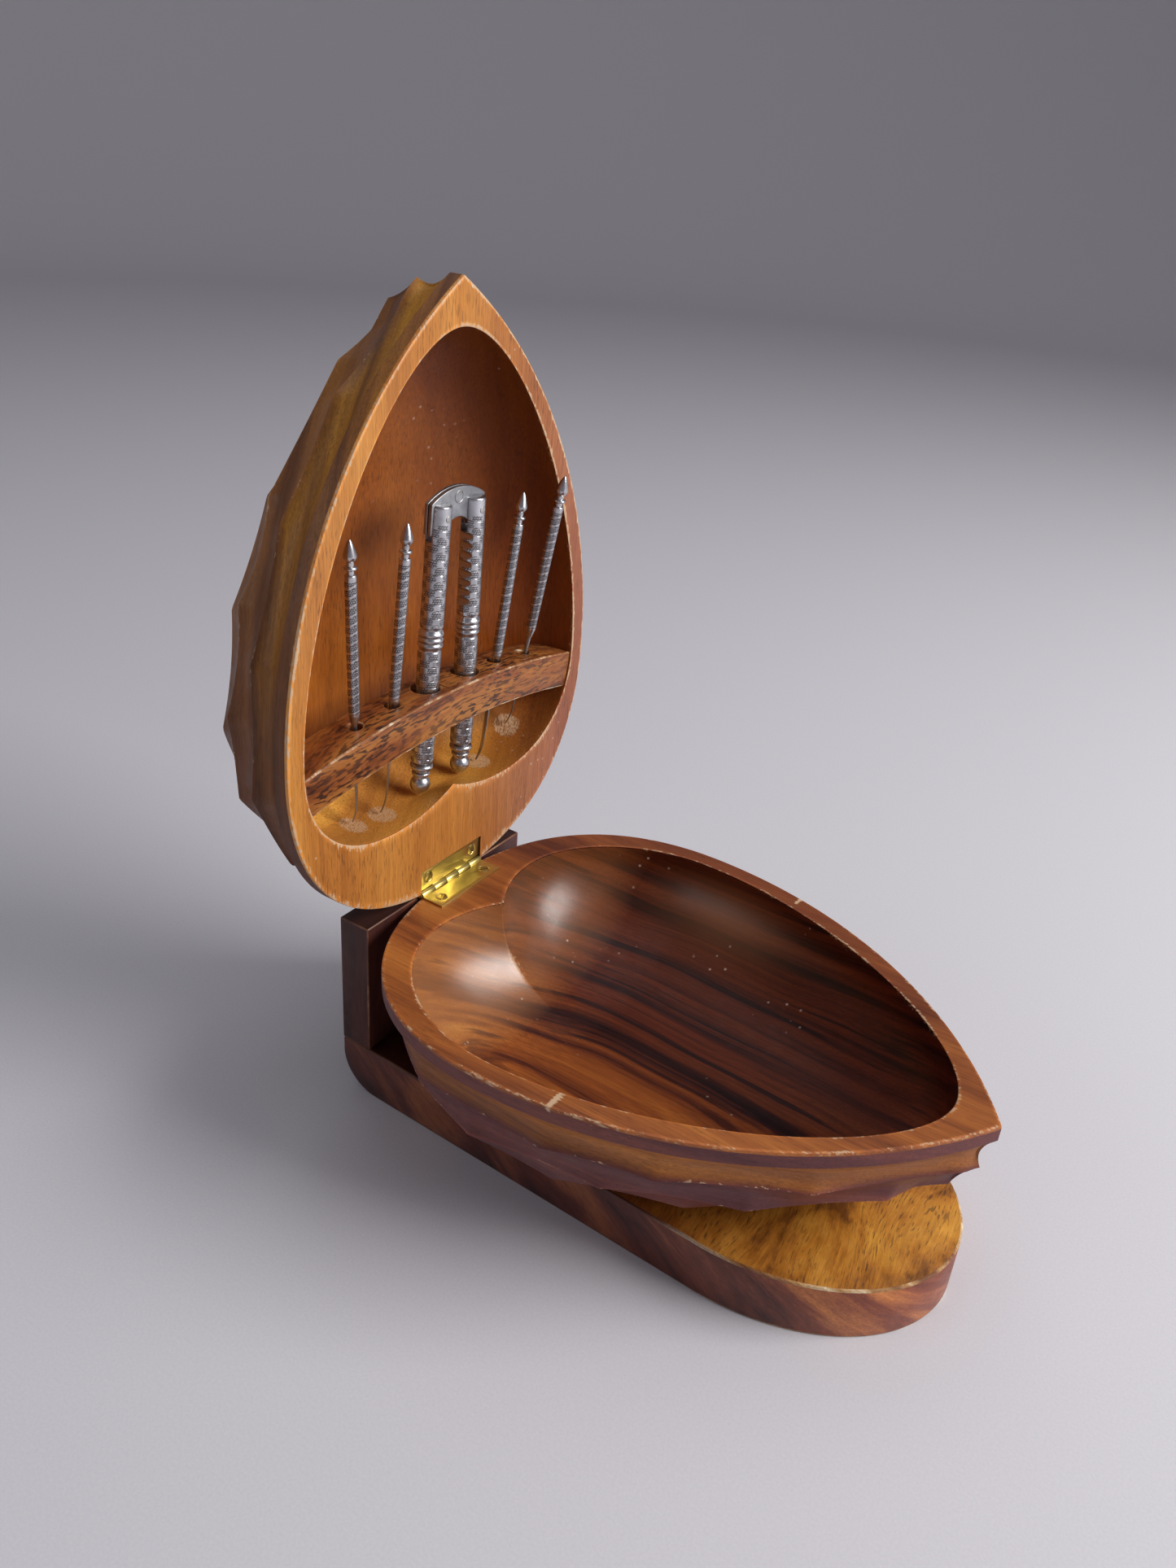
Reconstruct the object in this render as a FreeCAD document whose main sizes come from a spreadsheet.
import FreeCAD, Part
import math
import os
import Sketcher
from FreeCAD import Placement, Rotation, Vector

# A carved wooden nut bowl on an L-shaped stand.  Its hinged lid carries a nutcracker and four
# nut picks in a drilled rail.  Millimetres.  +X runs from the hinge to the pointed end of the
# bowl, +Z is up, and the origin is the centre of the stand's underside.  The lid is stored open,
# standing upright, which is how the set is displayed and used.

doc = FreeCAD.newDocument("nut_bowl")
sheet = doc.addObject("Spreadsheet::Sheet", "Sizes")

SIZES = [
    # shells: the bowl and the lid share one outline
    ("shell_length", 260.0, "rim outline, blunt end to point"),
    ("shell_half", 97.5, "rim outline, half of the greatest width"),
    ("widest_at", 88.0, "distance of the greatest width from the blunt end"),
    ("blunt_pull", 72.0, "handle that squares the blunt end"),
    ("shoulder_pull", 45.0, "handle that rounds the shoulder"),
    ("side_pull", 70.0, "handle that bows the side"),
    ("point_angle", 59.0, "half angle of the point, degrees"),
    ("shell_depth", 66.0, "rim to the flat of the shell"),
    ("dome_depth", 68.0, "depth at which the dome would close"),
    ("band_depth", 7.4, "plain band below the rim"),
    ("cove_depth", 15.0, "deepest line of the cove"),
    ("cove_cut", 3.6, "how far the cove cuts in"),
    ("ridge_depth", 22.8, "crest of the first carved ridge"),
    ("ridge_cut", 2.8, "how far the facets below the ridge cut in"),
    ("ridge_step", 14.4, "spacing of the carved ridges"),
    # hollows
    ("hollow_end", 242.0, "far end of both hollows from the blunt end"),
    ("hollow_half", 88.7, "half of the greatest width of both hollows"),
    ("hollow_side_pull", 75.0, "handle that bows the hollow's side"),
    ("hollow_end_pull", 34.5, "handle that rounds the hollow's end"),
    ("bowl_cusp", 32.0, "cusp of the heart-shaped bowl hollow"),
    ("bowl_lobe", 21.3, "back of the bowl hollow's two lobes"),
    ("bowl_lobe_side", 33.0, "distance of a bowl lobe's back from the middle"),
    ("bowl_lobe_pull", 32.0, "handle that rounds a bowl lobe"),
    ("bowl_hollow", 51.0, "depth of the bowl hollow"),
    ("lid_cusp", 50.0, "cusp of the lid hollow"),
    ("lid_lobe", 41.8, "back of the lid hollow's two lobes"),
    ("lid_lobe_side", 36.0, "distance of a lid lobe's back from the middle"),
    ("lid_lobe_pull", 37.0, "handle that rounds a lid lobe"),
    ("lid_hollow", 47.0, "depth of the lid hollow"),
    # stand
    ("stand_length", 274.0, "heel of the stand to its rounded toe"),
    ("board_thick", 26.0, "base board"),
    ("heel_half", 54.5, "half width of the stand at its heel"),
    ("waist_half", 60.0, "half width where the toe starts to round"),
    ("toe_radius", 81.0, "half length of the toe's ellipse"),
    ("heel_round", 19.0, "rounding of the heel's lower edge"),
    ("post_thick", 16.0, "upright board"),
    ("post_gap", 0.3, "upright board to the bowl's blunt end"),
    ("rim_height", 92.2, "bowl rim above the table"),
    # hinge
    ("leaf_thick", 1.0, "hinge leaf"),
    ("leaf_length", 42.0, "hinge leaf along the pin"),
    ("leaf_reach", 12.6, "pin to the free edge of a leaf"),
    ("pin_inset", 0.8, "pin inboard of the blunt end"),
    ("pin_radius", 1.0, "hinge pin"),
    ("pin_play", 0.05, "running clearance on the moving leaf"),
    ("knuckle_radius", 1.9, "knuckle outside"),
    ("knuckle_gap", 0.2, "gap between knuckles"),
    ("face_gap", 0.2, "gap between the closed rims"),
    ("screw_reach", 7.6, "pin to the screws"),
    ("screw_side", 15.2, "hinge screws each side of the middle"),
    ("screw_head", 2.7, "hinge screw head radius"),
    ("screw_core", 1.2, "hinge screw shank radius"),
    ("screw_length", 9.0, "hinge screw"),
    # tool rail
    ("rail_top", 95.1, "top of the rail's arch along the lid"),
    ("rail_height", 17.3, "rail"),
    ("rail_arch", 451.0, "radius of the rail's arch"),
    ("rail_face", 0.8, "rail face behind the lid's rim plane"),
    ("rail_thick", 20.5, "rail, front to back"),
    ("tool_depth", 11.5, "tool axes behind the rim plane at the rail"),
    ("tool_middle", 7.0, "middle of the tool holes from the lid's middle"),
    ("arm_hole_side", 13.3, "nutcracker holes each side of the tools' middle"),
    ("arm_side", 11.0, "rivets each side of the nutcracker's middle"),
    ("arm_splay", 1.4, "turn of each arm outwards from its rivet, degrees"),
    ("inner_pick_side", 34.5, "inner pick holes"),
    ("outer_pick_side", 56.8, "outer pick holes"),
    ("arm_hole", 6.3, "nutcracker hole radius"),
    ("pick_hole", 3.25, "pick hole radius"),
    # nutcracker
    ("arm_radius", 4.95, "nutcracker arm"),
    ("arm_length", 131.0, "foot of the ball to the top of the arm"),
    ("ball_radius", 4.5, "ball at the foot"),
    ("ball_nub", 0.8, "nub below the ball"),
    ("neck_rise", 7.0, "foot to the start of the neck above the ball"),
    ("foot_ring_rise", 14.4, "foot to the bead at the bottom of the shaft"),
    ("shaft_rise", 16.5, "foot to the bottom of the shaft"),
    ("collar_rise", 74.0, "foot to the collar"),
    ("ring_radius", 1.25, "bead of a collar ring"),
    ("pivot_drop", 5.2, "top of the arm to the rivet"),
    ("slot_drop", 15.0, "depth of the slot for the link plates"),
    ("slot_back", 1.0, "slot behind the arm's axis"),
    ("plate_thick", 1.6, "link plate"),
    ("plate_gap", 0.6, "space between the link plates"),
    ("slot_play", 0.1, "slot to link plate"),
    ("plate_half", 17.0, "half width of a link plate"),
    ("plate_crown", 5.5, "top of a link plate above the arms"),
    ("plate_round", 31.4, "radius of a link plate's top"),
    ("plate_leg", 12.0, "foot of a link plate below the top of the arms"),
    ("plate_arch", 9.7, "radius of the arch under a link plate"),
    ("plate_arch_drop", 7.0, "crown of that arch below the top of the arms"),
    ("rivet_radius", 1.6, "rivet"),
    ("rivet_play", 0.05, "running clearance of an arm on its rivet"),
    ("tooth_start", 86.0, "foot to the lowest gripping notch"),
    ("tooth_pitch", 4.1, "spacing of the gripping notches"),
    ("tooth_radius", 1.6, "notch"),
    ("tool_floor", 43.3, "feet of the nutcracker from the lid's blunt end"),
    ("arm_lean", 2.1, "nutcracker's lean out of the lid, degrees"),
    ("arm_aside", 1.1, "nutcracker's lean to one side, degrees"),
    # picks
    ("pick_length", 128.0, "pick, tip to finial"),
    ("handle_length", 79.0, "pick handle"),
    ("handle_radius", 2.3, "pick handle"),
    ("shank_radius", 1.15, "pick shank"),
    ("hook_radius", 26.0, "bend of a pick's tip"),
    ("hook_angle", 22.0, "turn of a pick's tip, degrees"),
]

for row, (alias, value, note) in enumerate(SIZES, start=1):
    sheet.set("A%d" % row, alias.replace("_", " "))
    sheet.set("B%d" % row, str(value))
    sheet.set("C%d" % row, note)
    sheet.setAlias("B%d" % row, alias)
doc.recompute()


def size(alias):
    """Value of one driving dimension."""
    return float(getattr(sheet, alias))


# ---------------------------------------------------------------- document helpers

def bind(item, **expressions):
    """Tie properties to the sheet; a double underscore stands for a dot."""
    for name, expression in expressions.items():
        item.setExpression(name.replace("__", "."), expression)
    return item


def at(item, x=0.0, y=0.0, z=0.0, axis=Vector(0, 0, 1), angle=0.0):
    item.Placement = Placement(Vector(x, y, z), Rotation(axis, angle))
    return item


def solid(kind, name, **expressions):
    return bind(doc.addObject("Part::" + kind, name), **expressions)


def cut(name, base, tool):
    result = doc.addObject("Part::Cut", name)
    result.Base = base
    result.Tool = tool
    return result


def common(name, base, tool):
    result = doc.addObject("Part::Common", name)
    result.Base = base
    result.Tool = tool
    return result


def fuse(name, pieces):
    result = doc.addObject("Part::MultiFuse", name)
    result.Shapes = pieces
    return result


def group(name, pieces):
    result = doc.addObject("Part::Compound", name)
    result.Links = pieces
    return result


nodes = {}


def node(name, item):
    """Name one finished sub-part."""
    item.Label = name
    nodes[name] = item
    return item



# ---------------------------------------------------------------- places
# Lid frame: x from the lid's blunt end to its point, y across, z into the lid from its rim plane.
# Bowl frame: x from the blunt end to the point, z down from the rim.

BLUNT = -size("stand_length") / 2 + size("post_thick") + size("post_gap")
RIM = size("rim_height")
PIN = Vector(BLUNT + size("pin_inset"), 0, RIM + size("leaf_thick"))
LID_FACE = PIN.x + size("leaf_thick") - size("face_gap")
LID_FOOT = PIN.z - size("pin_inset")
LID_PLACE = Placement(Vector(LID_FACE, 0, LID_FOOT), Rotation(Vector(0, 1, 0), -90))
BOWL_PLACE = Placement(Vector(BLUNT, 0, RIM), Rotation(Vector(1, 0, 0), 180))


# ---------------------------------------------------------------- carved shells

def dome(depth, closing, power):
    """Share of the rim's size left at a depth, for a dome that closes at `closing`."""
    return (1 - min(depth / closing, 1) ** power) ** (1 / power)


def rim_half():
    """Poles of the right half of the rim outline, blunt end to point."""
    length, half, widest = size("shell_length"), size("shell_half"), size("widest_at")
    angle = math.radians(size("point_angle"))
    pull = size("side_pull")
    back = [(0, 0), (0, size("blunt_pull")), (widest - size("shoulder_pull"), half), (widest, half)]
    point = (length - pull * math.cos(angle), pull * math.sin(angle))
    front = [(widest, half), (widest + pull, half), point, (length, 0)]
    return [back, front]


def hollow_half(cusp, lobe, lobe_side, lobe_pull, fade):
    """Poles of the right half of a heart-shaped hollow, cusp to far end."""
    half, widest, end = size("hollow_half"), size("widest_at"), size("hollow_end")
    cusp = lobe + (cusp - lobe) * fade
    spread = (widest - lobe) / 2
    inner = [(cusp, 0), (cusp - (cusp - lobe) * 0.65, lobe_side * 0.3), (lobe, lobe_side * 0.65),
             (lobe, lobe_side)]
    outer = [(lobe, lobe_side), (lobe, lobe_side + lobe_pull), (widest - spread, half), (widest, half)]
    side = [(widest, half), (widest + size("hollow_side_pull"), half), (end, size("hollow_end_pull")),
            (end, 0)]
    return [inner, outer, side]


def section(halves, depth, back, front, side):
    """Closed wire of an outline at one depth, its length and width scaled about the widest line."""
    widest = size("widest_at")

    def place(pole, mirror):
        x, y = pole
        reach = back if x < widest else front
        return Vector(widest + (x - widest) * reach, y * side * mirror, depth)

    def curve(poles, mirror):
        bezier = Part.BezierCurve()
        bezier.setPoles([place(pole, mirror) for pole in poles])
        return bezier.toShape()

    right = [curve(poles, 1) for poles in halves]
    left = [curve(poles[::-1], -1) for poles in halves[::-1]]
    return Part.Wire(right + left)


def loft(name, wires):
    """A closed loft through flat wires, each wire an object of the document."""
    sections = []
    for number, wire in enumerate(wires):
        item = doc.addObject("Part::Feature", "%s_section_%d" % (name, number))
        item.Shape = wire
        sections.append(item)
    item = doc.addObject("Part::Loft", name)
    item.Sections = sections
    item.Solid = True
    item.Ruled = True
    return item


def carved(name):
    """Outside of a shell: plain band, cove, then rows of carved ridges over a dome."""
    half = size("shell_half")
    band, cove, ridge = size("band_depth"), size("cove_depth"), size("ridge_depth")
    step, closing, depth = size("ridge_step"), size("dome_depth"), size("shell_depth")
    profile = [(0, 0), (band, 0), (cove, size("cove_cut")), (ridge, 0)]
    while profile[-1][0] + step < depth:
        crest = profile[-1][0]
        profile.append((crest + step / 2, size("ridge_cut")))
        profile.append((crest + step, 0))
    profile.append((depth, 0))
    wires = []
    for down, inset in profile:
        trim = 1 - inset / half
        back = trim if down <= band else trim * dome(down, closing, 1.7)
        front = trim if down <= band else trim * dome(down, closing, 2.8)
        side = trim if down <= band else trim * dome(down, closing, 3.2)
        wires.append(section(rim_half(), down, back, front, side))
    return loft(name, wires)


def hollow(name, shell, powers, fade_depth):
    """Inside of a shell, started a little above the rim so that it cuts cleanly."""
    outline = [size(shell + "_" + part) for part in ("cusp", "lobe", "lobe_side", "lobe_pull")]
    depth = size(shell + "_hollow")
    steps = [0, 0.2, 0.4, 0.58, 0.74, 0.86, 0.94, 0.98]
    wires = [section(hollow_half(*outline, 1), -2, 1, 1, 1)]
    for step in steps:
        down = depth * step
        fade = max(1 - down / fade_depth, 0.05)
        back, front, side = [dome(down, depth, power) for power in powers]
        wires.append(section(hollow_half(*outline, fade), down, back, front, side))
    return loft(name, wires)


def bowl_hollow(name):
    return hollow(name, "bowl", (1.9, 2.4, 2.1), 60.0)


def lid_hollow(name):
    return hollow(name, "lid", (3.0, 2.3, 2.3), 14.0)


# ---------------------------------------------------------------- hinge
# Leaf frame: pin along y through the origin, leaf towards +x, its bare face at z = 0.

def screw_pair(name, slotted):
    """Two countersunk screws, heads flush with z = 0 and shanks towards -z."""
    screws = []
    for mirror in (-1, 1):
        head = solid("Cone", name + "_head", Radius1="Sizes.screw_head", Radius2="Sizes.screw_core",
                     Height="Sizes.screw_head - Sizes.screw_core")
        shank = solid("Cylinder", name + "_shank", Radius="Sizes.screw_core",
                      Height="Sizes.screw_length")
        screw = fuse(name + "_whole", [head, shank])
        if slotted:
            slot = solid("Box", name + "_slot", Length="Sizes.screw_head * 3", Width="0.6 mm",
                         Height="0.5 mm")
            bind(slot, Placement__Base__x="-Sizes.screw_head * 1.5", Placement__Base__y="-0.3 mm")
            screw = cut(name + "_slotted", screw, slot)
        at(screw, axis=Vector(1, 0, 0), angle=180)
        bind(screw, Placement__Base__x="Sizes.screw_reach",
             Placement__Base__y="%d * Sizes.screw_side" % mirror)
        screws.append(screw)
    return group(name, screws)


def leaf(name, knuckles, play):
    plate = solid("Box", name + "_plate", Length="Sizes.leaf_reach", Width="Sizes.leaf_length",
                  Height="Sizes.leaf_thick")
    bind(plate, Placement__Base__y="-Sizes.leaf_length / 2", Placement__Base__z="-Sizes.leaf_thick")
    rolls = []
    spaces = []
    for index in range(5):
        low = "-Sizes.leaf_length / 2 + Sizes.leaf_length / 5 * %d" % index
        if index in knuckles:
            roll = solid("Cylinder", name + "_knuckle", Radius="Sizes.knuckle_radius",
                         Height="Sizes.leaf_length / 5 - Sizes.knuckle_gap")
            at(roll, axis=Vector(1, 0, 0), angle=-90)
            bind(roll, Placement__Base__y=low + " + Sizes.knuckle_gap / 2")
            rolls.append(roll)
        else:
            space = solid("Box", name + "_space", Length="Sizes.knuckle_radius * 2 + 0.4",
                          Width="Sizes.leaf_length / 5 + Sizes.knuckle_gap",
                          Height="Sizes.knuckle_radius * 3")
            bind(space, Placement__Base__x="-Sizes.knuckle_radius",
                 Placement__Base__y=low + " - Sizes.knuckle_gap / 2",
                 Placement__Base__z="-Sizes.knuckle_radius * 1.5")
            spaces.append(space)
    bore = solid("Cylinder", name + "_bore", Radius="Sizes.pin_radius + %s" % play,
                 Height="Sizes.leaf_length + 4")
    at(bore, axis=Vector(1, 0, 0), angle=-90)
    bind(bore, Placement__Base__y="-Sizes.leaf_length / 2 - 2")
    blank = cut(name + "_spaced", fuse(name + "_blank", [plate] + rolls), group(name + "_gaps", spaces))
    bored = cut(name + "_bored", blank, bore)
    return cut(name + "_leaf", bored, screw_pair(name + "_countersinks", False))


LEAF_ON_BOWL = Placement(PIN, Rotation())
LEAF_ON_LID = Placement(PIN, Rotation(Vector(0, 0, 1), Vector(0, -1, 0), Vector(1, 0, 0), "XYZ"))

for name, place, knuckles, play in (("hinge_leaf_bowl", LEAF_ON_BOWL, (0, 2, 4), "0"),
                                    ("hinge_leaf_lid", LEAF_ON_LID, (1, 3), "Sizes.pin_play")):
    plate = node(name, leaf(name, knuckles, play))
    plate.Placement = place

for name, place in (("hinge_screws_bowl", LEAF_ON_BOWL), ("hinge_screws_lid", LEAF_ON_LID)):
    screws = node(name, screw_pair(name, True))
    screws.Placement = place

pin = solid("Cylinder", "pin", Radius="Sizes.pin_radius", Height="Sizes.leaf_length + 0.8")
at(pin, axis=Vector(1, 0, 0), angle=-90)
bind(pin, Placement__Base__x="%g" % PIN.x, Placement__Base__z="%g" % PIN.z,
     Placement__Base__y="-Sizes.leaf_length / 2 - 0.4")
node("hinge_pin", pin)


def hinge_recess(name, leaf_place, deep):
    """What the hinge needs cut out of the wood behind a leaf."""
    clear = solid("Cylinder", name + "_barrel", Radius="Sizes.knuckle_radius + 0.25",
                  Height="Sizes.leaf_length + 1.4")
    at(clear, axis=Vector(1, 0, 0), angle=-90)
    bind(clear, Placement__Base__y="-Sizes.leaf_length / 2 - 0.7")
    pieces = [clear, screw_pair(name + "_pilots", False)]
    if deep:
        bed = solid("Box", name + "_bed", Length="Sizes.leaf_reach + 5.1",
                    Width="Sizes.leaf_length + 0.4", Height="Sizes.leaf_thick + 4")
        bind(bed, Placement__Base__x="-5 mm", Placement__Base__y="-Sizes.leaf_length / 2 - 0.2",
             Placement__Base__z="-Sizes.leaf_thick")
        pieces.append(bed)
    recess = fuse(name, pieces)
    recess.Placement = leaf_place
    return recess


# ---------------------------------------------------------------- stand

slab = solid("Wedge", "slab", Xmin="-Sizes.heel_half", Xmax="Sizes.heel_half",
             X2min="-Sizes.waist_half", X2max="Sizes.waist_half", Ymin="0 mm",
             Ymax="Sizes.stand_length - Sizes.toe_radius", Zmin="0 mm", Zmax="Sizes.board_thick",
             Z2min="0 mm", Z2max="Sizes.board_thick")
at(slab, axis=Vector(0, 0, 1), angle=-90)
bind(slab, Placement__Base__x="-Sizes.stand_length / 2")
toe_line = solid("Ellipse", "toe_line", MajorRadius="Sizes.toe_radius",
                 MinorRadius="Sizes.waist_half")
toe = doc.addObject("Part::Extrusion", "toe")
toe.Base = toe_line
toe.DirMode = "Custom"
toe.Dir = Vector(0, 0, 1)
toe.Solid = True
bind(toe, LengthFwd="Sizes.board_thick",
     Placement__Base__x="Sizes.stand_length / 2 - Sizes.toe_radius")
board = fuse("board", [slab, toe])
heel_keep = solid("Cylinder", "heel_keep", Radius="Sizes.heel_round", Height="Sizes.waist_half * 2")
at(heel_keep, axis=Vector(1, 0, 0), angle=-90)
bind(heel_keep, Placement__Base__x="-Sizes.stand_length / 2 + Sizes.heel_round",
     Placement__Base__y="-Sizes.waist_half", Placement__Base__z="Sizes.heel_round")
heel_block = solid("Box", "heel_block", Length="Sizes.heel_round", Width="Sizes.waist_half * 2",
                   Height="Sizes.heel_round")
bind(heel_block, Placement__Base__x="-Sizes.stand_length / 2", Placement__Base__y="-Sizes.waist_half")
heel_waste = cut("heel_waste", heel_block, heel_keep)
rounded = cut("rounded_board", board, heel_waste)


def wood_screws(name, length, spots):
    """Countersunk wood screws driven upwards from the underside of the stand."""
    screws = []
    for x, y in spots:
        head = solid("Cone", name + "_head", Radius1="4 mm", Radius2="2 mm", Height="2.4 mm")
        shank = solid("Cylinder", name + "_shank", Radius="2 mm", Height="%g mm" % length)
        slot = solid("Box", name + "_slot", Length="12 mm", Width="1 mm", Height="1 mm")
        bind(slot, Placement__Base__x="-6 mm", Placement__Base__y="-0.5 mm")
        screw = cut(name + "_slotted", fuse(name + "_whole", [head, shank]), slot)
        at(screw, x, y, 3.0)
        screws.append(screw)
    return group(name, screws)


def screw_wells(name, length, spots):
    """Counterbored holes for those screws."""
    wells = []
    for x, y in spots:
        mouth = solid("Cylinder", name + "_mouth", Radius="4 mm", Height="4 mm")
        at(mouth, z=-4.0)
        head = solid("Cone", name + "_head", Radius1="4 mm", Radius2="2 mm", Height="2.4 mm")
        shank = solid("Cylinder", name + "_shank", Radius="2 mm", Height="%g mm" % length)
        wells.append(at(fuse(name + "_well", [mouth, head, shank]), x, y, 3.0))
    return fuse(name, wells)


POST_MIDDLE = -size("stand_length") / 2 + size("post_thick") / 2
post_spots = [(POST_MIDDLE, -30.0), (POST_MIDDLE, 30.0)]
bowl_spots = [(-40.0, 0.0), (10.0, 0.0)]
node("post_screws", wood_screws("post_screws", 45.0, post_spots))
node("bowl_screws", wood_screws("bowl_screws", 31.0, bowl_spots))
drilled = cut("drilled_for_post", rounded, screw_wells("post_wells", 45.0, post_spots))
node("stand_base", cut("stand_base", drilled, screw_wells("bowl_wells", 31.0, bowl_spots)))

upright = doc.addObject("PartDesign::Body", "upright")
plan = upright.newObject("Sketcher::SketchObject", "upright_plan")
plan.AttachmentSupport = [(next(f for f in upright.Origin.OriginFeatures if f.Role == "XY_Plane"), "")]
plan.MapMode = "FlatFace"
half_thick = size("post_thick") / 2
half_wide = size("heel_half")
ends = [(-half_thick, -half_wide), (half_thick, -half_wide), (half_thick, half_wide),
        (-half_thick, half_wide)]
for start, end in zip(ends, ends[1:] + ends[:1]):
    plan.addGeometry(Part.LineSegment(Vector(*start, 0), Vector(*end, 0)), False)
for edge in range(4):
    plan.addConstraint(Sketcher.Constraint("Coincident", edge, 2, (edge + 1) % 4, 1))
for edge, kind in enumerate(("Horizontal", "Vertical", "Horizontal", "Vertical")):
    plan.addConstraint(Sketcher.Constraint(kind, edge))
plan.addConstraint(Sketcher.Constraint("Symmetric", 0, 1, 2, 1, -1, 1))
thickness = plan.addConstraint(Sketcher.Constraint("DistanceX", 0, 1, 0, 2, 2 * half_thick))
width = plan.addConstraint(Sketcher.Constraint("DistanceY", 1, 1, 1, 2, 2 * half_wide))
plan.setExpression("Constraints[%d]" % thickness, "Sizes.post_thick")
plan.setExpression("Constraints[%d]" % width, "Sizes.heel_half * 2")
pad = upright.newObject("PartDesign::Pad", "upright_pad")
pad.Profile = plan
pad.setExpression("Length", "Sizes.rim_height - Sizes.board_thick")
bind(upright, Placement__Base__x="-(Sizes.stand_length - Sizes.post_thick) / 2",
     Placement__Base__z="Sizes.board_thick")
post_drilled = cut("post_drilled", upright, screw_wells("post_pilots", 45.0, post_spots))
node("stand_post", cut("stand_post", post_drilled, hinge_recess("post_recess", LEAF_ON_BOWL, False)))

# ---------------------------------------------------------------- bowl and lid

bowl_outside = carved("bowl_outside")
bowl_blank = cut("bowl_blank", bowl_outside, bowl_hollow("bowl_inside"))
bowl_blank.Placement = BOWL_PLACE
bowl_hinged = cut("bowl_hinged", bowl_blank, hinge_recess("bowl_recess", LEAF_ON_BOWL, False))
node("bowl", cut("bowl", bowl_hinged, screw_wells("bowl_pilots", 31.0, bowl_spots)))

lid_blank = cut("lid_blank", carved("lid_outside"), lid_hollow("lid_inside"))
lid_blank.Placement = LID_PLACE
node("lid", cut("lid", lid_blank, hinge_recess("lid_recess", LEAF_ON_LID, True)))

# ---------------------------------------------------------------- tool rail
# An arched board, cut from the space between two cylinders and ended on the hollow's walls.

arch = solid("Cylinder", "arch", Radius="Sizes.rail_arch", Height="Sizes.rail_thick")
under_arch = solid("Cylinder", "under_arch", Radius="Sizes.rail_arch - Sizes.rail_height",
                   Height="Sizes.rail_thick + 2")
bind(under_arch, Placement__Base__z="-1 mm")
bow = cut("bow", arch, under_arch)
bind(bow, Placement__Base__x="Sizes.rail_top - Sizes.rail_arch",
     Placement__Base__z="Sizes.rail_face")
rail_room = solid("Box", "rail_room", Length="60 mm", Width="240 mm", Height="60 mm")
bind(rail_room, Placement__Base__x="Sizes.rail_top - 45", Placement__Base__y="-120 mm")
rail_blank = common("rail_blank", common("bow_end", bow, rail_room), lid_hollow("rail_fit"))

TOOLS = size("tool_middle")
ARM_PLACES = [TOOLS - size("arm_hole_side"), TOOLS + size("arm_hole_side")]
PICK_PLACES = [TOOLS + offset for offset in (-size("outer_pick_side"), -size("inner_pick_side"),
                                             size("inner_pick_side"), size("outer_pick_side"))]
holes = []
for across, radius in [(y, "Sizes.arm_hole") for y in ARM_PLACES] + [
        (y, "Sizes.pick_hole") for y in PICK_PLACES]:
    hole = solid("Cylinder", "rail_hole", Radius=radius, Height="60 mm")
    at(hole, y=across, axis=Vector(0, 1, 0), angle=90)
    bind(hole, Placement__Base__x="Sizes.rail_top - 45", Placement__Base__z="Sizes.tool_depth")
    holes.append(hole)
rail = node("tool_bar", cut("rail", rail_blank, fuse("rail_holes", holes)))
rail.Placement = LID_PLACE

# ---------------------------------------------------------------- nutcracker
# Tool frame: z from the feet up the tool, y across it, x out of the lid.

def tool_place(across, up, forward, aside, below):
    """Place a tool whose axis leaves the rail at a hole; its foot is `below` that point."""
    lean = Vector(math.tan(math.radians(forward)), math.tan(math.radians(aside)), 1).normalize()
    hole = Vector(LID_FACE - size("tool_depth"), across, LID_FOOT + up)
    turn = Rotation(Vector(1, 0, 0), Vector(0, 1, 0), lean, "ZYX")
    return Placement(hole - lean * below, turn)


def torus(name, bead, radius, rise):
    ring = solid("Torus", name, Radius1="%s - %s" % (radius, bead), Radius2=bead)
    return bind(ring, Placement__Base__z=rise)


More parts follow.
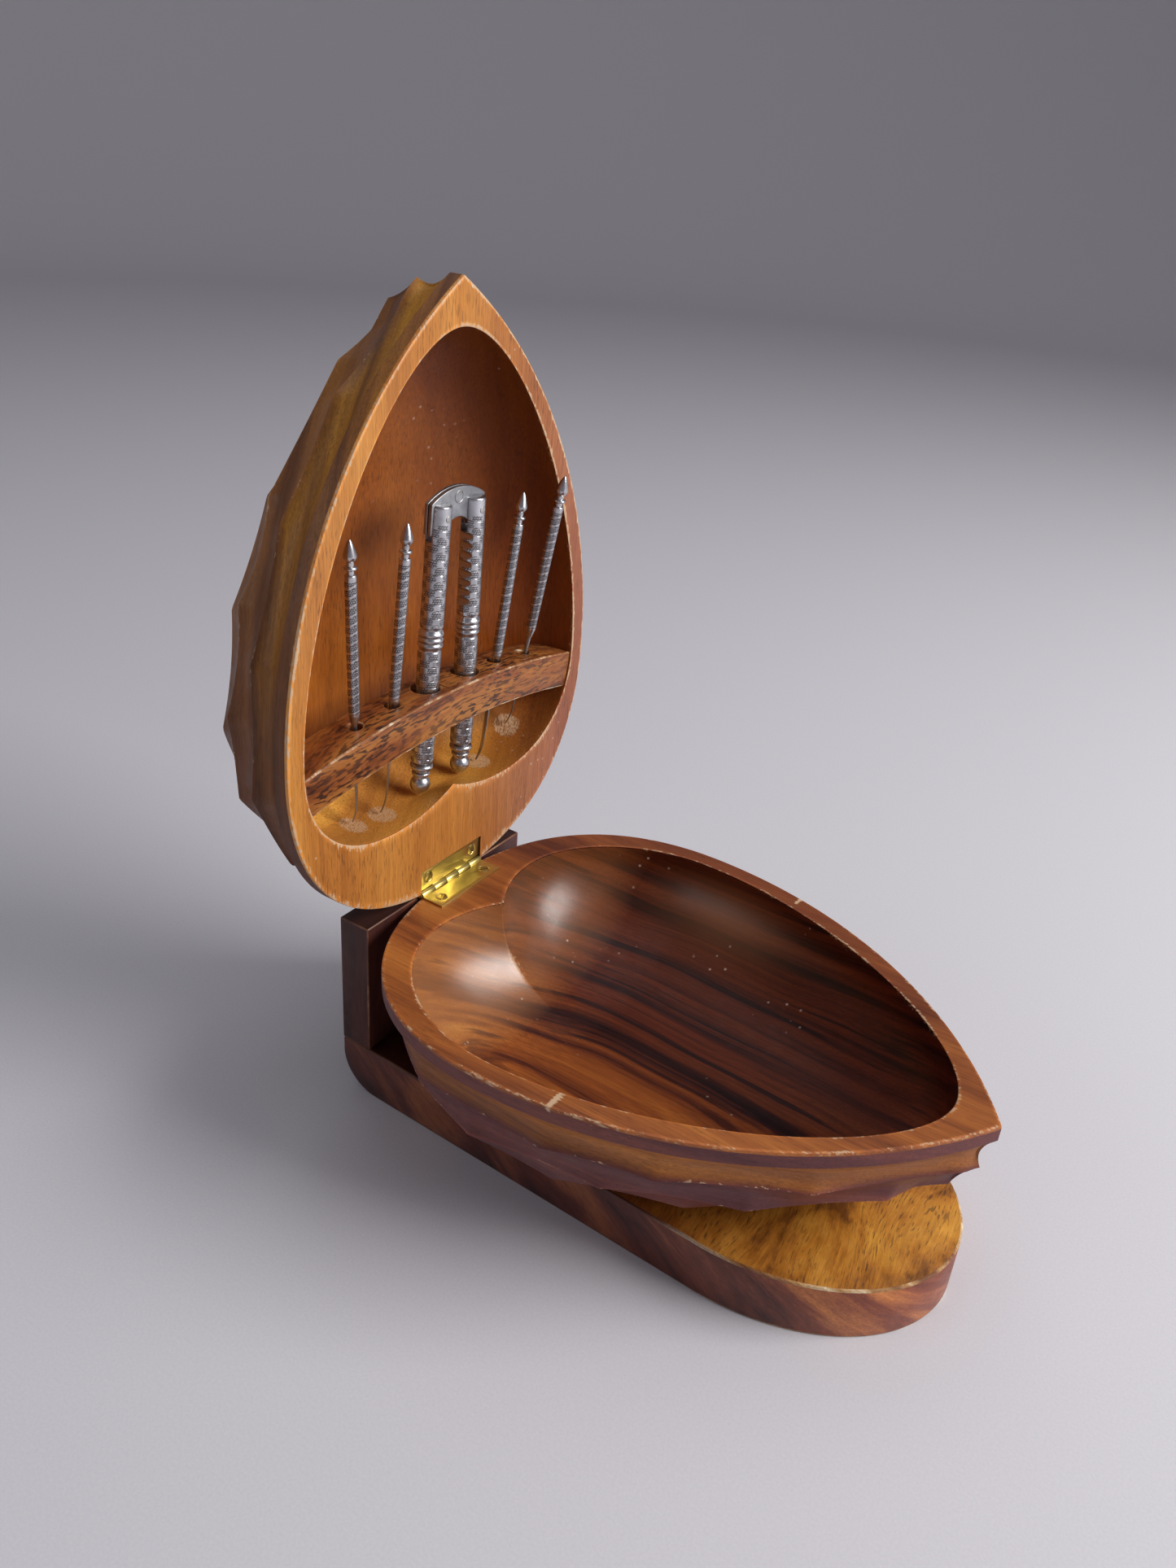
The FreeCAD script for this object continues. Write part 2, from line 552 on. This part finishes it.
def arm(name, inward):
    """One handle: ball foot, beaded collar, gripping notches and a slotted, capped top."""
    shaft = solid("Cylinder", name + "_shaft", Radius="Sizes.arm_radius",
                  Height="Sizes.arm_length - Sizes.shaft_rise")
    bind(shaft, Placement__Base__z="Sizes.shaft_rise")
    neck = solid("Cylinder", name + "_neck", Radius="Sizes.arm_radius * 0.6",
                 Height="Sizes.shaft_rise - Sizes.neck_rise + 0.5")
    bind(neck, Placement__Base__z="Sizes.neck_rise")
    ball = solid("Sphere", name + "_ball", Radius="Sizes.ball_radius")
    bind(ball, Placement__Base__z="Sizes.ball_radius + Sizes.ball_nub")
    nub = solid("Cone", name + "_nub", Radius1="0.6 mm", Radius2="1.6 mm", Height="2 mm")
    foot_ring = torus(name + "_foot_ring", "Sizes.ring_radius * 1.2", "Sizes.arm_radius + 0.1",
                      "Sizes.foot_ring_rise")
    collar = [torus(name + "_collar", "Sizes.ring_radius", "Sizes.arm_radius + 0.45",
                    "Sizes.collar_rise + %g * Sizes.ring_radius" % (2 * step)) for step in (-1, 0, 1)]
    turned = fuse(name + "_turned", [shaft, neck, ball, nub, foot_ring] + collar)
    slot = solid("Box", name + "_slot", Width="Sizes.arm_radius * 4", Height="Sizes.slot_drop + 1",
                 Length="2 * Sizes.plate_thick + Sizes.plate_gap + 2 * Sizes.slot_play")
    bind(slot, Placement__Base__x="-Sizes.slot_back - Sizes.plate_thick - Sizes.plate_gap / 2"
         " - Sizes.slot_play", Placement__Base__y="-Sizes.arm_radius * 2",
         Placement__Base__z="Sizes.arm_length - Sizes.slot_drop")
    pivot = solid("Cylinder", name + "_pivot", Radius="Sizes.rivet_radius + Sizes.rivet_play",
                  Height="Sizes.arm_radius * 4")
    at(pivot, axis=Vector(0, 1, 0), angle=90)
    bind(pivot, Placement__Base__x="-Sizes.arm_radius * 2",
         Placement__Base__z="Sizes.arm_length - Sizes.pivot_drop")
    waste = [slot, pivot]
    for step in range(8):
        notch = solid("Cylinder", name + "_notch", Radius="Sizes.tooth_radius",
                      Height="Sizes.arm_radius * 4")
        at(notch, axis=Vector(0, 1, 0), angle=90)
        bind(notch, Placement__Base__x="-Sizes.arm_radius * 2",
             Placement__Base__y="%d * (Sizes.arm_radius + 0.2)" % inward,
             Placement__Base__z="Sizes.tooth_start + %d * Sizes.tooth_pitch" % step)
        waste.append(notch)
    finished = cut(name, turned, fuse(name + "_waste", waste))
    rise = size("arm_length") - size("pivot_drop")
    turn = Rotation(Vector(1, 0, 0), -inward * size("arm_splay"))
    rivet = Vector(0, -inward * size("arm_side"), rise)
    finished.Placement = Placement(rivet - turn.multVec(Vector(0, 0, rise)), turn)
    return finished


def link_plate(name, shift):
    """Bean-shaped plate joining the arms; `shift` is its back face from the arms' axes."""
    blank = solid("Box", name + "_blank", Length="Sizes.plate_thick", Width="2 * Sizes.plate_half",
                  Height="Sizes.plate_leg + Sizes.plate_crown")
    bind(blank, Placement__Base__y="-Sizes.plate_half",
         Placement__Base__z="Sizes.arm_length - Sizes.plate_leg")
    crown = solid("Cylinder", name + "_crown", Radius="Sizes.plate_round", Height="Sizes.plate_thick")
    at(crown, axis=Vector(0, 1, 0), angle=90)
    bind(crown, Placement__Base__z="Sizes.arm_length + Sizes.plate_crown - Sizes.plate_round")
    arch = solid("Cylinder", name + "_arch", Radius="Sizes.plate_arch", Height="Sizes.plate_thick + 2")
    at(arch, axis=Vector(0, 1, 0), angle=90)
    bind(arch, Placement__Base__x="-1 mm",
         Placement__Base__z="Sizes.arm_length - Sizes.plate_arch_drop - Sizes.plate_arch")
    waste = [arch]
    for mirror in (-1, 1):
        hole = solid("Cylinder", name + "_hole", Radius="Sizes.rivet_radius",
                     Height="Sizes.plate_thick + 2")
        at(hole, axis=Vector(0, 1, 0), angle=90)
        bind(hole, Placement__Base__x="-1 mm", Placement__Base__y="%d * Sizes.arm_side" % mirror,
             Placement__Base__z="Sizes.arm_length - Sizes.pivot_drop")
        waste.append(hole)
    plate = cut(name, common(name + "_outline", blank, crown), fuse(name + "_waste", waste))
    return bind(plate, Placement__Base__x=shift)


def rivets(name):
    pins = []
    for mirror in (-1, 1):
        rivet = solid("Cylinder", name + "_pin", Radius="Sizes.rivet_radius",
                      Height="Sizes.arm_radius * 2 + 0.3")
        at(rivet, axis=Vector(0, 1, 0), angle=90)
        bind(rivet, Placement__Base__x="-Sizes.arm_radius - 0.15",
             Placement__Base__y="%d * Sizes.arm_side" % mirror,
             Placement__Base__z="Sizes.arm_length - Sizes.pivot_drop")
        pins.append(rivet)
    return group(name, pins)


RAIL_MIDDLE = size("rail_top") - size("rail_height") / 2
CRACKER = tool_place(TOOLS, RAIL_MIDDLE, size("arm_lean"), size("arm_aside"),
                     RAIL_MIDDLE - size("tool_floor"))
FRONT_PLATE = "-Sizes.slot_back + Sizes.plate_gap / 2"
BACK_PLATE = "-Sizes.slot_back - Sizes.plate_gap / 2 - Sizes.plate_thick"
for name, piece in (("nutcracker_arm_left", arm("arm_left", 1)),
                    ("nutcracker_arm_right", arm("arm_right", -1)),
                    ("link_plate_front", link_plate("plate_front", FRONT_PLATE)),
                    ("link_plate_back", link_plate("plate_back", BACK_PLATE)),
                    ("pivot_rivets", rivets("pivot_rivets"))):
    node(name, group(name, [piece])).Placement = CRACKER

# ---------------------------------------------------------------- picks

def pick_handle(name):
    rise = "Sizes.pick_length - Sizes.handle_length"
    taper = solid("Cone", name + "_taper", Radius1="Sizes.shank_radius + 0.4",
                  Radius2="Sizes.handle_radius", Height="4 mm")
    bind(taper, Placement__Base__z=rise)
    grip = solid("Cylinder", name + "_grip", Radius="Sizes.handle_radius",
                 Height="Sizes.handle_length - 16")
    bind(grip, Placement__Base__z=rise + " + 4")
    ring = torus(name + "_ring", "0.9", "Sizes.handle_radius + 0.25", "Sizes.pick_length - 11.2")
    neck = solid("Cylinder", name + "_neck", Radius="1.5 mm", Height="8 mm")
    bind(neck, Placement__Base__z="Sizes.pick_length - 13")
    bulb = solid("Sphere", name + "_bulb", Radius="2.6 mm")
    bind(bulb, Placement__Base__z="Sizes.pick_length - 6")
    point = solid("Cone", name + "_point", Radius1="2.1 mm", Radius2="0.3 mm", Height="4.5 mm")
    bind(point, Placement__Base__z="Sizes.pick_length - 4.5")
    outside = fuse(name + "_outside", [taper, grip, ring, neck, bulb, point])
    socket = solid("Cylinder", name + "_socket", Radius="Sizes.shank_radius", Height="12 mm")
    bind(socket, Placement__Base__z=rise)
    return cut(name, outside, socket)


def pick_shank(name, heading):
    """Steel shank whose tip curves away in one direction, given as a heading in degrees."""
    sine = "Sizes.hook_radius * sin(Sizes.hook_angle * 1 deg)"
    stem = solid("Cylinder", name + "_stem", Radius="Sizes.shank_radius",
                 Height="Sizes.pick_length - Sizes.handle_length + 12 - %s" % sine)
    bind(stem, Placement__Base__z=sine)
    hook = solid("Torus", name + "_hook", Radius1="Sizes.hook_radius", Radius2="Sizes.shank_radius",
                 Angle3="Sizes.hook_angle * 1 deg")
    at(hook, axis=Vector(1, 0, 0), angle=-90)
    bind(hook, Placement__Base__x="-Sizes.hook_radius", Placement__Base__z=sine)
    shank = fuse(name, [stem, hook])
    return at(shank, axis=Vector(0, 0, 1), angle=heading)


PICKS = [  # lean out of the lid, lean aside and heading of the hooked tip in degrees, tip's place
    (4.3, -5.1, 30.0, 45.6),
    (2.7, 3.3, 45.0, 43.4),
    (3.6, 6.6, 60.0, 43.2),
    (10.4, 0.5, 30.0, 51.2),
]
for number, (across, pick) in enumerate(zip(PICK_PLACES, PICKS), start=1):
    forward, aside, heading, tip = pick
    drop = size("rail_arch") - math.sqrt(size("rail_arch") ** 2 - across ** 2)
    middle = RAIL_MIDDLE - drop
    slant = math.hypot(1, math.tan(math.radians(forward)), math.tan(math.radians(aside)))
    place = tool_place(across, middle, forward, aside, (middle - tip) * slant)
    handle = group("pick_%d_handle" % number, [pick_handle("handle_%d" % number)])
    shank = group("pick_%d_shank" % number, [pick_shank("shank_%d" % number, heading)])
    node("pick_%d_handle" % number, handle).Placement = place
    node("pick_%d_shank" % number, shank).Placement = place

doc.recompute()
problems = [item.Name for item in doc.Objects if "Invalid" in item.State or "Error" in item.State]
for name, item in nodes.items():
    if item.Shape.isNull() or not item.Shape.isValid() or item.Shape.Volume <= 0:
        problems.append(name)
if problems:
    raise RuntimeError("not built: " + ", ".join(problems))

os.makedirs("parts", exist_ok=True)
for name, item in nodes.items():
    item.Shape.exportStep("parts/%s.step" % name)
    print(name, round(item.Shape.Volume / 1000, 2), "cm3", item.Shape.BoundBox)
